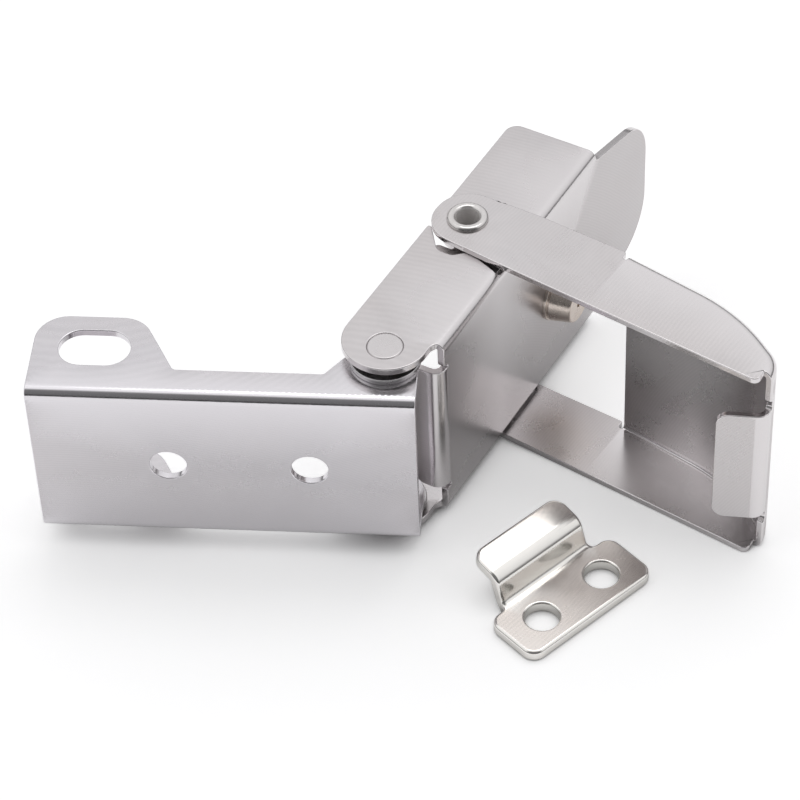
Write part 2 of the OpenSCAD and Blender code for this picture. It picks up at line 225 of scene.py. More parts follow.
# ---------------------------------------------------------------- meshes

def make_object(name, verts, faces, normals, polish_and_highlight, node, body, slot, material):
    """Makes a piece; its mask of bends and edges is 1 there, where the material paints a highlight
    and makes them smoother than the flats.

    A piece with no node of its own is drawn beside the one that stands for its CAD part.
    """
    mesh = bpy.data.meshes.new(name)
    mesh.from_pydata([tuple(v) for v in verts * MM], [], faces)
    mesh.polygons.foreach_set("use_smooth", [True] * len(mesh.polygons))
    mesh.attributes.new("polish_and_highlight", "FLOAT", "POINT").data.foreach_set("value", polish_and_highlight)
    mesh.update()
    mesh.normals_split_custom_set_from_vertices([tuple(n) for n in normals])
    mesh.materials.append(material)
    obj = bpy.data.objects.new(name, mesh)
    bpy.context.scene.collection.objects.link(obj)
    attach(obj, body)
    if node:
        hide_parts(node)


def open_edges(tris):
    """Directed edges that belong to one triangle only, as {start: end}."""
    edges = {(t[k], t[(k + 1) % 3]): True for t in tris for k in range(3)}
    return {a: b for a, b in edges if (b, a) not in edges}


MITRE = 0.55  # limits how far the rounded edge moves in at a sharp corner


def thicken(points, normals, tris, thickness, edge, steps=4):
    """Gives a surface its thickness, away from its normals, with edges rounded to a radius."""
    n = len(points)
    thickness = np.broadcast_to(np.asarray(thickness, float), (n,))
    edge = np.broadcast_to(np.asarray(edge, float), (n,))
    after = open_edges(tris)
    before = {b: a for a, b in after.items()}
    rim = sorted(after)
    place = {v: i for i, v in enumerate(rim)}
    inward = np.zeros((len(rim), 3))
    for i, v in enumerate(rim):
        d1 = unit(points[v] - points[before[v]])
        d2 = unit(points[after[v]] - points[v])
        i1, i2 = np.cross(normals[v], d1), np.cross(normals[v], d2)
        inward[i] = (i1 + i2) / max(1 + i1 @ i2, MITRE)
    rim_p, rim_n = points[rim], normals[rim]
    rim_h, rim_e = thickness[rim][:, None], edge[rim][:, None]
    flat_in = inward / np.linalg.norm(inward, axis=1)[:, None]
    outer, inner = points.copy(), points - normals * thickness[:, None]
    outer[rim] = rim_p + inward * rim_e
    inner[rim] = rim_p + inward * rim_e - rim_n * rim_h
    bent = np.zeros(n)
    for k in range(3):
        i, j = tris[:, k], tris[:, (k + 1) % 3]
        turn = np.sum(normals[i] * normals[j], 1) < COS_BENT
        bent[i[turn]] = bent[j[turn]] = 1
    # bends and rounded edges are marked 1, for the material's painted highlight and smoother finish
    # there
    verts, norms, polish_and_highlight = [outer, inner], [normals, -normals], [bent, bent]
    rings = [np.array(rim)]
    base = 2 * n
    for side in (0, 1):
        for k in range(1, steps + 1) if side == 0 else range(steps, 0, -1):
            a = QUARTER * k / steps
            depth = rim_e * (1 - math.cos(a))
            depth = rim_h - depth if side else depth
            verts.append(rim_p + inward * rim_e * (1 - math.sin(a)) - rim_n * depth)
            tilt = -math.cos(a) if side else math.cos(a)
            norms.append(rim_n * tilt - flat_in * math.sin(a))
            polish_and_highlight.append(np.ones(len(rim)))
            rings.append(np.arange(base, base + len(rim)))
            base += len(rim)
    rings.append(np.array(rim) + n)
    faces = [tuple(t) for t in tris] + [tuple(t[::-1] + n) for t in tris]
    for upper, lower in zip(rings[:-1], rings[1:]):
        for v, w in after.items():
            i, j = place[v], place[w]
            faces.append((upper[j], upper[i], lower[i], lower[j]))
    return np.concatenate(verts), faces, np.concatenate(norms), np.concatenate(polish_and_highlight)


def turned(corners, segments=96, closed_axis=False):
    """A closed profile of corners (r, z, radius), anticlockwise, turned about z."""
    profile, normals = rounded(corners, FINE_STEP)
    angles = np.arange(segments) * 2 * math.pi / segments
    verts, norms = [], []
    for (r, z), (nr, nz) in zip(profile, normals):
        verts += [(r * math.cos(a), r * math.sin(a), z) for a in angles]
        norms += [(nr * math.cos(a), nr * math.sin(a), nz) for a in angles]
    faces = []
    count = len(profile)
    for k in range(count):
        nxt = (k + 1) % count
        if closed_axis and profile[k][0] < 1e-6 and profile[nxt][0] < 1e-6:
            continue
        for s in range(segments):
            t = (s + 1) % segments
            faces.append((k * segments + s, k * segments + t, nxt * segments + t, nxt * segments + s))
    verts, norms = np.array(verts), np.array(norms)
    if closed_axis:
        verts, faces, norms = merge_axis(verts, faces, norms)
    return verts, faces, norms, np.zeros(len(verts))


def merge_axis(verts, faces, norms):
    """Joins the points that lie on the axis, which turns quads there into triangles."""
    on_axis = np.hypot(verts[:, 0], verts[:, 1]) < 1e-6
    new_index, keep, seen = {}, [], {}
    for i in range(len(verts)):
        key = round(float(verts[i, 2]), 6) if on_axis[i] else None
        if key is not None and key in seen:
            new_index[i] = seen[key]
            continue
        new_index[i] = len(keep)
        if key is not None:
            seen[key] = len(keep)
            norms[i] = (0, 0, 1 if norms[i][2] > 0 else -1)
        keep.append(i)
    out = []
    for f in faces:
        g = [new_index[i] for i in f]
        g = [v for k, v in enumerate(g) if v != g[k - 1]]
        if len(g) > 2:
            out.append(tuple(g))
    return verts[keep], out, norms[keep]


def place(verts, normals, angle, x, y):
    """Turns about z, then moves to (x, y)."""
    c, s = math.cos(angle), math.sin(angle)
    turn = np.array([[c, s, 0], [-s, c, 0], [0, 0, 1]])
    return verts @ turn + np.array([x, y, 0]), normals @ turn


# ---------------------------------------------------------------- materials

GRAIN_SCALE = 560  # rings of fine brushing, about half a millimetre apart
CLOUD_SCALE = 70
PATCH_SCALE = 28
SPECKLE_SCALE = 1400
RELIEF_SCALE = 190
RELIEF_DEPTH = 0.02 * MM
EDGE_HIGHLIGHT_TINT, EDGE_SHARE, EDGE_ROUGHNESS = 1.22, 0.75, 0.55  # painted highlight on bends and edges: the tint brightens their colour and the share mixes it in; the roughness factor makes them smoother than the flats


class Nodes:
    """Short ways to add nodes to a node tree."""

    def __init__(self, tree):
        self.tree = tree

    def give(self, socket, value):
        """Links a socket to another, or sets its value."""
        if isinstance(value, bpy.types.NodeSocket):
            self.tree.links.new(value, socket)
        else:
            socket.default_value = value

    def add(self, kind, **inputs):
        """Adds a node and fills its inputs by name, with _ for a space."""
        node = self.tree.nodes.new(kind)
        for name, value in inputs.items():
            self.give(node.inputs[name.replace("_", " ")], value)
        return node

    def join(self, kind, *inputs, operation=None):
        """Adds a node and fills its inputs in order."""
        node = self.tree.nodes.new(kind)
        if operation:
            node.operation = operation
        for socket, value in zip(node.inputs, inputs):
            self.give(socket, value)
        return node

    def calc(self, operation, a, b):
        return self.join("ShaderNodeMath", a, b, operation=operation).outputs[0]

    def noise(self, place, scale, detail, rough=0.5, distortion=0.0):
        return self.add("ShaderNodeTexNoise", Vector=place, Scale=scale, Detail=detail,
                        Roughness=rough, Distortion=distortion).outputs["Fac"]

    def ranged(self, value, low, high, start=0.3, end=0.7):
        """Maps start..end to low..high."""
        return self.add("ShaderNodeMapRange", Value=value, From_Min=start, From_Max=end,
                        To_Min=low, To_Max=high).outputs["Result"]

    def mix(self, a, b, amount, blend="MIX"):
        """Mixes two colours."""
        node = self.tree.nodes.new("ShaderNodeMix")
        node.data_type = "RGBA"
        node.blend_type = blend
        for name, value in (("Factor", amount), ("A", a), ("B", b)):
            self.give(next(i for i in node.inputs if i.name == name and i.enabled), value)
        return next(o for o in node.outputs if o.enabled)


def satin_steel(name, tint, roughness, cloud=0.05, arcs=(0.03, -0.05, 0.12), grain=0.14,
                drift=(1.0, 0.985, 0.975)):
    """Stainless sheet: cloudy finish, fine arcs of grain, a painted highlight where it is bent or
    cut, which is also smoother there.
    """
    material = bpy.data.materials.new(name)
    material.use_nodes = True
    n = Nodes(material.node_tree)
    bsdf = n.tree.nodes["Principled BSDF"]
    bsdf.inputs["Metallic"].default_value = 1.0
    place_in = n.add("ShaderNodeTexCoord").outputs["Object"]
    clouds = n.noise(place_in, CLOUD_SCALE, 4, 0.55, 0.8)
    speckle = n.noise(place_in, SPECKLE_SCALE, 2, 0.6)
    patches = n.noise(place_in, PATCH_SCALE, 3, 0.5, 0.4)
    away = n.add("ShaderNodeMapping", Vector=place_in, Location=arcs).outputs[0]
    wave = n.add("ShaderNodeTexWave", Vector=away, Scale=GRAIN_SCALE, Distortion=1.2, Detail=0.0)
    wave.wave_type = "RINGS"
    wave.rings_direction = "SPHERICAL"
    arc = wave.outputs["Fac"]
    polish_and_highlight = n.add("ShaderNodeAttribute")
    polish_and_highlight.attribute_name = "polish_and_highlight"
    edge = polish_and_highlight.outputs["Fac"]

    # colour: a slow drift between two tints, then clouds, speckle and arcs as shades of it
    other = tuple(t * d for t, d in zip(tint, drift))
    colour = n.mix((*tint, 1), (*other, 1), n.ranged(patches, 0, 1))
    level = n.calc("MULTIPLY", n.ranged(clouds, 1 - cloud, 1.0), n.ranged(speckle, 0.98, 1.0))
    level = n.calc("MULTIPLY", level, n.ranged(arc, 0.955, 1.0, 0, 1))
    grey = n.add("ShaderNodeCombineColor", Red=level, Green=level, Blue=level).outputs[0]
    colour = n.mix(colour, grey, 1.0, "MULTIPLY")
    # painted highlight: bends and cut edges get a brighter colour than the flats
    edge_highlight_colour = tuple(min(1.0, t * EDGE_HIGHLIGHT_TINT) for t in tint)
    colour = n.mix(colour, (*edge_highlight_colour, 1), n.calc("MULTIPLY", edge, EDGE_SHARE))
    n.give(bsdf.inputs["Base Color"], colour)

    rough = n.calc("ADD", n.ranged(clouds, roughness - 0.05, roughness + 0.06),
                   n.ranged(speckle, -0.01, 0.01))
    rough = n.calc("MULTIPLY", rough, n.ranged(edge, 1.0, EDGE_ROUGHNESS, 0, 1))
    n.give(bsdf.inputs["Roughness"], rough)

    height = n.calc("ADD", n.calc("MULTIPLY", arc, 0.5), n.noise(place_in, RELIEF_SCALE, 1, 0.5))
    bump = n.add("ShaderNodeBump", Height=height, Strength=grain, Distance=RELIEF_DEPTH)
    n.give(bsdf.inputs["Normal"], bump.outputs[0])
    return material


def tube_metal():
    """Polished tube; its bore is a dull drawn surface that scatters the light inside it."""
    material = satin_steel("tube_steel", (0.78, 0.76, 0.75), 0.15, 0.03, grain=0.15)
    n = Nodes(material.node_tree)
    place_in = n.add("ShaderNodeTexCoord").outputs["Object"]
    split = n.add("ShaderNodeSeparateXYZ", Vector=place_in)
    flat = n.add("ShaderNodeCombineXYZ", X=split.outputs["X"], Y=split.outputs["Y"])
    from_axis = n.join("ShaderNodeVectorMath", flat.outputs[0], (link[0] * MM, link[1] * MM, 0),
                       operation="DISTANCE").outputs["Value"]
    outside = n.ranged(from_axis, 0.0, 1.0, TUBE_BORE_R * 1.01 * MM, TUBE_BORE_R * 1.1 * MM)
    n.give(n.tree.nodes["Principled BSDF"].inputs["Metallic"], outside)
    return material


base_steel = satin_steel("base_steel", (0.73, 0.71, 0.735), 0.28)
lever_steel = satin_steel("lever_steel", (0.67, 0.645, 0.65), 0.36, arcs=(-0.02, 0.03, 0.10))
bail_steel = satin_steel("bail_steel", (0.70, 0.675, 0.68), 0.28, 0.05, arcs=(-0.15, 0.02, 0.05))
keeper_steel = satin_steel("keeper_steel", (0.85, 0.81, 0.78), 0.24, drift=(1.0, 0.96, 0.92))
pin_steel = satin_steel("pin_steel", (0.70, 0.675, 0.68), 0.30, arcs=(-0.03, -0.011, 0.1))
washer_steel = satin_steel("washer_steel", (0.66, 0.65, 0.66), 0.26)
tube_steel = tube_metal()
stud_steel = satin_steel("stud_steel", (0.87, 0.79, 0.73), 0.28, drift=(1.0, 0.95, 0.90))


# ---------------------------------------------------------------- channels

def channel_surface(xv, half, radius, wall_y):
    """Lays a blank (x along, v from the mid plane) on a channel: wall, bends, flanges."""
    x, v = xv[:, 0], xv[:, 1]
    side, reach = np.sign(v), np.abs(v)
    straight = half - radius
    angle = np.clip((reach - straight) / radius, 0, QUARTER)
    beyond = np.maximum(reach - straight - radius * QUARTER, 0)
    flat = np.minimum(reach, straight)
    points = np.stack([x, wall_y + radius * (1 - np.cos(angle)) + beyond,
                       side * (flat + radius * np.sin(angle))], 1)
    normals = np.stack([0 * x, -np.cos(angle), side * np.sin(angle)], 1)
    return points, normals


def flange_v(y, half, radius, wall_y):
    """The blank's v for a place y on a flange."""
    return half - radius + radius * QUARTER + (y - wall_y - radius)


def bend_rows(x0, x1, half, radius, pieces=9, step=1.1):
    """Rows of blank points through both bends of a channel."""
    start = half - radius
    vs = [start + radius * QUARTER * k / pieces for k in range(-1, pieces + 2)]
    return np.concatenate([rows(x0, x1, step, vs), rows(x0, x1, step, [-v for v in vs])])


def near_bend(half, radius, fine=0.3, coarse=1.2):
    """Step length along an outline: fine where it crosses a bend."""
    low, high = half - radius - 0.4, half - radius + radius * QUARTER + 0.4
    return lambda p: fine if low < abs(p[1]) < high else coarse


# ---------------------------------------------------------------- base bracket

BASE_BEND = 2.0
BASE_FLANGE = 7.0
EAR_R = 6.2
PADLOCK_TOP = base_high[1]
PADLOCK_SPAN = 9.8
PADLOCK_LEAN = math.radians(28.4)
PIVOT_RAMP = 11.1
HOLE_XS, HOLE_R = (-10.6, 15.9), 3.5
SLOT_X, SLOT_Y, SLOT_LENGTH, SLOT_WIDTH = -24.4, 12, 13.5, 9


def build_base():
    """The base channel with its padlock ears, pivot ears and mounting holes."""
    def v(y):
        return flange_v(y, base_half, BASE_BEND, 0)

    ear_top = pivot[1] + EAR_R
    lift = pivot[1] - BASE_FLANGE
    ramp_foot = pivot[0] - PIVOT_RAMP
    ramp = math.atan2(lift, PIVOT_RAMP) + math.asin(EAR_R / math.hypot(lift, PIVOT_RAMP))
    ramp_top = ramp_foot + (ear_top - BASE_FLANGE) / math.tan(ramp)
    corner_x = base_left + EAR_R + PADLOCK_SPAN
    touch = np.array([corner_x, PADLOCK_TOP - EAR_R])
    touch += EAR_R * np.array([math.cos(PADLOCK_LEAN), math.sin(PADLOCK_LEAN)])
    slope_foot = touch[0] + (touch[1] - BASE_FLANGE) * math.tan(PADLOCK_LEAN)
    slope_top = touch[0] - (PADLOCK_TOP - touch[1]) * math.tan(PADLOCK_LEAN)
    outline = rounded(mirrored([
        (base_right, v(ear_top), EAR_R), (ramp_top, v(ear_top), EAR_R),
        (ramp_foot, v(BASE_FLANGE), 1.0), (slope_foot, v(BASE_FLANGE), 1.2),
        (slope_top, v(PADLOCK_TOP), EAR_R), (base_left, v(PADLOCK_TOP), EAR_R)]))[0]
    outline = subdivide(outline, near_bend(base_half, BASE_BEND))
    holes = [circle(x, 0, HOLE_R) for x in HOLE_XS]
    for side in (1, -1):
        holes.append(circle(pivot[0], side * v(pivot[1]), PIN_R + RUNNING_GAP))
        holes.append(obround(SLOT_X, side * v(SLOT_Y), SLOT_LENGTH, SLOT_WIDTH))
    blank, tris = fill(outline, holes, bend_rows(base_left, base_right, base_half, BASE_BEND))
    points, normals = channel_surface(blank, base_half, BASE_BEND, 0)
    return thicken(points, normals, tris, SHEET, 0.22)


make_object("base_bracket_sheet", *build_base(), "base_bracket", "base", "base_steel", base_steel)


# ---------------------------------------------------------------- lever

WALL_Y = -9.6
FREE_Y = 9.1
LEVER_BEND = 1.8
LEVER_END = 65.5
TAB_END = 87.5
HEEL_X, HEEL_LOW, HEEL_R = -6.32, -7.45, 8.05
NOTCH_X = 4.9
HEEL_TAB_X, HEEL_TAB_HALF, HEEL_TAB_EDGE, HEEL_TAB_BEND = 3.2, 15.4, -3.6, 2.6
LINK_X, LINK_Y = 36.0, 2.6
WINDOW_HEEL, WINDOW_TIP = 26.95, 42.3
WINDOW_MOUTH = (33.2, 40.4)  # where the window opens at the flange's free edge
WINDOW_FLOOR = 1.05  # height of its straight edge above the bend's start, on the blank
SADDLE_DROP = 1.6
SADDLE_HEEL, SADDLE_SLIT, SADDLE_TIP = 27.6, 29.9, 42.1
SADDLE_EDGE = 6.0
EYE_R = 5.1


def lever_surface(xv):
    """The channel of the lever, and the tab bent in at its heel."""
    points, normals = channel_surface(xv, lever_half, LEVER_BEND, WALL_Y)
    bend_x = HEEL_TAB_X + HEEL_TAB_BEND
    x, v = xv[:, 0], xv[:, 1]
    tab = (x < bend_x) & (np.abs(v) < HEEL_TAB_HALF + 0.4)
    run = bend_x - x[tab]
    angle = np.clip(run / HEEL_TAB_BEND, 0, QUARTER)
    beyond = np.maximum(run - HEEL_TAB_BEND * QUARTER, 0)
    points[tab] = np.stack([
        bend_x - HEEL_TAB_BEND * np.sin(angle),
        WALL_Y + HEEL_TAB_BEND * (1 - np.cos(angle)) + beyond, v[tab]], 1)
    normals[tab] = np.stack([-np.sin(angle), -np.cos(angle), 0 * angle], 1)
    return points, normals


def build_lever():
    """The lever's channel with its windows, heel tab and finger tab."""
    def v(y):
        return flange_v(y, lever_half, LEVER_BEND, WALL_Y)

    bend_v = lever_half - LEVER_BEND
    bend_x = HEEL_TAB_X + HEEL_TAB_BEND
    tab_free = bend_x - HEEL_TAB_BEND * QUARTER - (HEEL_TAB_EDGE - WALL_Y - HEEL_TAB_BEND)
    floor_v = bend_v + WINDOW_FLOOR
    window = [
        (WINDOW_MOUTH[0], v(FREE_Y), 0.5), (WINDOW_HEEL, v(4.23), 2.5), (WINDOW_HEEL, v(1.0), 2.0),
        (29.3, v(-1.4), 0.7), (26.3, floor_v, 0.9), (WINDOW_TIP, floor_v, 0.9),
        (WINDOW_TIP, v(3.9), 2.0), (WINDOW_MOUTH[1], v(5.6), 1.0), (WINDOW_MOUTH[1], v(FREE_Y), 0.4)]
    corners = [
        (tab_free, HEEL_TAB_HALF, 1.8), (bend_x + 0.5, HEEL_TAB_HALF, 0.5),
        (bend_x + 0.5, HEEL_TAB_HALF + 1.1, 0.5), (NOTCH_X, HEEL_TAB_HALF + 1.1, 0.4),
        (NOTCH_X, v(HEEL_LOW), 1.5), (HEEL_X, v(HEEL_LOW), HEEL_R), (HEEL_X, v(FREE_Y), HEEL_R)]
    corners += window + [(LEVER_END, v(FREE_Y), 2.6), (LEVER_END, 19.8, 0.8), (TAB_END, 13.9, 11.0)]
    outline = rounded(mirrored(corners))[0]
    outline = subdivide(outline, near_bend(lever_half, LEVER_BEND))
    holes = [circle(STUD_X, STUD_Z, STUD_TAIL_R)]
    holes += [circle(0, side * v(0), PIN_R + 0.005) for side in (1, -1)]
    tab_rows = [[(bend_x - HEEL_TAB_BEND * QUARTER * k / 10, y)
                 for y in np.arange(-HEEL_TAB_HALF, HEEL_TAB_HALF, 1.2)] for k in range(-1, 12)]
    extra = np.concatenate([bend_rows(NOTCH_X, LEVER_END, lever_half, LEVER_BEND),
                            np.concatenate(tab_rows)])
    blank, tris = fill(outline, holes, extra, 0.45)
    points, normals = lever_surface(blank)
    points, normals = place(points, normals, LEVER_ANGLE, *pivot)
    return thicken(points, normals, tris, SHEET, 0.22)


def build_saddle(side):
    """The plate under the window of a flange, with the eye that carries the bail axle."""
    wall = WALL_Y + SHEET + 0.02
    start = math.asin((SADDLE_EDGE - LINK_Y) / EYE_R)
    eye = [(LINK_X + EYE_R * math.cos(a), LINK_Y + EYE_R * math.sin(a), 0)
           for a in np.linspace(start, math.pi, 24)]
    outline = rounded([
        (SADDLE_HEEL, wall, 0.3), (SADDLE_TIP, wall, 0.3), (SADDLE_TIP, SADDLE_EDGE, 0.9), *eye,
        (SADDLE_SLIT, LINK_Y, 0.3), (SADDLE_SLIT, SADDLE_EDGE, 0.9),
        (SADDLE_HEEL, SADDLE_EDGE, 0.9)])[0]
    outline = subdivide(outline, lambda p: 1.2)
    flat, tris = fill(outline, [circle(LINK_X, LINK_Y, AXLE_R + RUNNING_GAP)])
    top = lever_half - SADDLE_DROP
    points = np.stack([flat[:, 0], flat[:, 1], np.full(len(flat), side * top)], 1)
    normals = np.tile([0.0, 0.0, float(side)], (len(flat), 1))
    if side < 0:
        tris = tris[:, ::-1]
    points, normals = place(points, normals, LEVER_ANGLE, *pivot)
    return thicken(points, normals, tris, SHEET, 0.2)


make_object("lever_sheet", *build_lever(), "lever", "lever", "lever_steel", lever_steel)
for side_name, side in (("upper", 1), ("lower", -1)):
    make_object(f"{side_name}_axle_saddle", *build_saddle(side), None, "lever",
                "lever_steel", lever_steel)


# ---------------------------------------------------------------- bail

BAIL_BEND = 1.8
WALL_START = np.array([31.5, 7.9])
LIP_HALF = 13.6
LIP_STEP = 2.4  # width of the notch beside the lip
COIN_R, COIN_DEPTH, COIN_SLOPE = 8.2, 0.12, 0.6
EYE_HALF = 6.7  # reach of the arm's eye end from the axle, and its half width
SHELF_X = 30.5  # where the arm's upper edge steps up to the wall
SHORT_WALL = 16.0
NOSE_RUN = 6.69  # length of wall in the wide bend of the nose
# the bail's wall as bent, in order: (length or None, radius or None when straight, final heading)
WALL_RUN = [(SHORT_WALL, None, -5.0), (None, 38.0, -31.0), (3.0, None, -31.0),
            (None, 6.5, -90.0), (None, 2.5, -153.0), (7.5, None, -153.0)]


def wall_path():
    """Stretches of the bail wall: (start length, length, start point, heading, curvature)."""
    stretches, at, point, heading = [], 0.0, WALL_START.copy(), math.radians(WALL_RUN[0][2])
    for length, radius, final in WALL_RUN:
        turn = math.radians(final) - heading
        length = abs(turn) * radius if radius else length
        bend = turn / length
        stretches.append((at, length, point.copy(), heading, bend))
        point = along(stretches[-1], length)[0]
        heading += turn
        at += length
    return stretches


def along(stretch, s):
    """Point and heading at a distance s into a stretch."""
    _, _, start, heading, bend = stretch
    if abs(bend) < 1e-9:
        return start + s * np.array([math.cos(heading), math.sin(heading)]), heading
    end = heading + bend * s
    offset = np.array([math.sin(end) - math.sin(heading), math.cos(heading) - math.cos(end)])
    return start + offset / bend, end


WALL = wall_path()
NOSE_AT = WALL[4][0]
CURL_AT = WALL[5][0]
LIP_AT = WALL[5][0] + WALL[5][1]
BEND_Q = bail_half - BAIL_BEND
ARM_Q = BEND_Q + BAIL_BEND * QUARTER


def wall_at(t):
    """Point and heading at a length t along the whole wall."""
    stretch = [s for s in WALL if s[0] <= t + 1e-9][-1] if t > 0 else WALL[0]
    return along(stretch, t - stretch[0])


def bail_surface(tq):
    """Lays a blank (t along the wall, q across it) on the bail's wall and bends."""
    points, normals = [], []
    for t, q in tq:
        spot, heading = wall_at(t)
        out = np.array([-math.sin(heading), math.cos(heading)])
        side, reach = (1 if q > 0 else -1), abs(q)
        angle = min(max((reach - BEND_Q) / BAIL_BEND, 0), QUARTER)
        spot = spot - out * BAIL_BEND * (1 - math.cos(angle))
        z = side * (min(reach, BEND_Q) + BAIL_BEND * math.sin(angle))
        points.append((spot[0], spot[1], z))
        normals.append((out[0] * math.cos(angle), out[1] * math.cos(angle),
                        side * math.sin(angle)))
    return np.array(points), np.array(normals)


def bail_wall(seam_t):
    """Blank of the wall with its bends, curl and lip: points (t, q) and triangles."""
    step_out, notch = LIP_HALF + LIP_STEP, NOSE_AT - 1.1
    lower = rounded([(NOSE_AT, -ARM_Q, 0), (NOSE_AT, -step_out, 0.5), (notch, -step_out, 1.0),
                     (notch, -LIP_HALF, 1.0), (LIP_AT, -LIP_HALF, 2.6), (LIP_AT, LIP_HALF, 2.6),
                     (notch, LIP_HALF, 1.0), (notch, step_out, 1.0), (NOSE_AT, step_out, 0.5),
                     (NOSE_AT, ARM_Q, 0)])[0]

    def fine(p):
        across = BEND_Q - 0.4 < abs(p[1])
        return 0.3 if across or NOSE_AT - 7 < p[0] < CURL_AT + 0.3 else 1.2

    edge = subdivide(lower, fine)
    edge = edge[(np.abs(edge[:, 1]) < ARM_Q - 1e-6) & (edge[:, 0] >= NOSE_AT - 1.2)]
    bend_q = np.arange(ARM_Q, BEND_Q - 0.3, -0.3)[1:]
    open_q = np.concatenate([bend_q, np.linspace(BEND_Q - 0.4, 0.4 - BEND_Q, 40), -bend_q[::-1]])
    outline = np.concatenate([
        [(t, -ARM_Q) for t in seam_t], edge, [(t, ARM_Q) for t in seam_t[::-1]],
        [(0, q) for q in open_q]])
    qs = [BEND_Q + BAIL_BEND * QUARTER * k / 9 for k in range(-1, 9)]
    sweep = [(t, q) for t in np.arange(1.2, NOSE_AT - 6.8, 1.2)
             for q in np.linspace(0.6 - BEND_Q, BEND_Q - 0.6, 14)]
    nose = [(t, q) for t in np.arange(NOSE_AT - 6.7, CURL_AT + 0.9, 0.32)
            for q in np.arange(-BEND_Q + 0.6, BEND_Q, 1.3)]
    extra = [rows(0, NOSE_AT, 0.9, qs), rows(0, NOSE_AT, 0.9, [-q for q in qs]),
             np.array(sweep), np.array(nose)]
    return fill(outline, (), np.concatenate(extra), 0.35)


def bail_arm(seam):
    """One arm in its own plane, which shares the seam points with the bend it grows from."""
    first, last = seam[0], seam[-1]
    rest = rounded([(*first, 0), (SHELF_X, first[1], 0.4), (SHELF_X, 7.85, 0.5), (12.0, 7.8, 20.0),
                    (-EYE_HALF, EYE_HALF, 6.6), (-EYE_HALF, -EYE_HALF, 6.6), (12.0, -7.5, 20.0),
                    (68.0, -8.7, 1.3), (*last, 0)])[0]
    rest = subdivide(rest, lambda p: 1.2)
    begin, end = (int(np.argmin(np.sum((rest - spot) ** 2, 1))) for spot in (first, last))
    around = np.roll(rest, -begin, 0)[:(end - begin) % len(rest)]
    loop = np.concatenate([seam[::-1][:-1], around])
    rings = [circle(0, 0, COIN_R - d, 0.6) for d in np.linspace(0, COIN_SLOPE, 5)]
    return fill(loop, [circle(0, 0, AXLE_NECK)], np.concatenate(rings), 0.45)


def build_bail():
    """The bail: wall, curled nose and lip, and two arms with a coined ring round the axle."""
    seam_t = np.concatenate([np.linspace(0, SHORT_WALL, 12)[:-1],
                             np.linspace(SHORT_WALL, NOSE_AT - NOSE_RUN, 18)[:-1],
                             np.linspace(NOSE_AT - NOSE_RUN, NOSE_AT, 22)])
    blank, wall_tris = bail_wall(seam_t)
    wall_points, wall_normals = bail_surface(blank)
    arm, arm_tris = bail_arm(bail_surface(np.array([(t, ARM_Q) for t in seam_t]))[0][:, :2])
    slope = np.clip((COIN_R - np.hypot(arm[:, 0], arm[:, 1])) / COIN_SLOPE, 0, 1)
    dent = COIN_DEPTH * slope * slope * (3 - 2 * slope)

    points, normals, tris = [wall_points], [wall_normals], [wall_tris[:, ::-1]]
    dents = [np.zeros(len(wall_points))]
    start = len(wall_points)
    for side in (1, -1):
        points.append(np.stack([arm[:, 0], arm[:, 1], np.full(len(arm), side * bail_half)], 1))
        normals.append(np.tile([0.0, 0.0, float(side)], (len(arm), 1)))
        tris.append((arm_tris if side > 0 else arm_tris[:, ::-1]) + start)
        dents.append(dent)
        start += len(arm)
    points, normals, tris = np.concatenate(points), np.concatenate(normals), np.concatenate(tris)
    dents = np.concatenate(dents)
    # join the seams
    _, keep, back = np.unique(np.round(points, 4), axis=0, return_index=True, return_inverse=True)
    back = back.ravel()
    points, normals, dents, tris = points[keep], normals[keep], dents[keep], back[tris]
    points[:, 2] -= np.sign(points[:, 2]) * dents
    points, normals = place(points, normals, BAIL_ANGLE, *link)
    return thicken(points, normals, tris, BAIL_SHEET - dents, 0.2)


make_object("hook_bail_sheet", *build_bail(), "hook_bail", "bail", "bail_steel", bail_steel)


# ---------------------------------------------------------------- keeper

KEEPER_REACH = 15.8
KEEPER_RISER, KEEPER_LIP = math.radians(72), math.radians(12)
KEEPER_FOOT_R, KEEPER_BROW_R = 1.0, KEEPER_SHEET + 0.8
KEEPER_FOOT_Y = 6.3
KEEPER_HALF, KEEPER_DEPTH, KEEPER_LIP_HALF = 15.7, 6.2, 11
KEEPER_HOLE_X, KEEPER_HOLE_R = 7.65, 3.3


def keeper_profile():
    """Stretches of the keeper from the foot of its riser: as wall_path, with the end's length."""
    rise = keeper_high[2] - (keeper_low[2] + KEEPER_SHEET)
    riser, lip, foot_r, brow_r = KEEPER_RISER, KEEPER_LIP, KEEPER_FOOT_R, KEEPER_BROW_R
    spare = rise - foot_r * (1 - math.cos(riser)) - brow_r * (math.cos(lip) - math.cos(riser))
    run = KEEPER_REACH - KEEPER_FOOT_Y - foot_r * math.sin(riser)
    run -= brow_r * (math.sin(riser) - math.sin(lip))
    turn = math.sin(riser - lip)
    riser_length = (spare * math.cos(lip) - run * math.sin(lip)) / turn
    lip_length = (run * math.sin(riser) - spare * math.cos(riser)) / turn
    stretches, at, heading = [], KEEPER_FOOT_Y, 0.0
    point = np.array([KEEPER_FOOT_Y, 0.0])
    for length, bend in ((foot_r * riser, 1 / foot_r), (riser_length, 0.0),
                         (brow_r * (riser - lip), -1 / brow_r), (lip_length, 0.0)):
        stretches.append((at, length, point.copy(), heading, bend))
        point, heading = along(stretches[-1], length)
        at += length
    return stretches, at


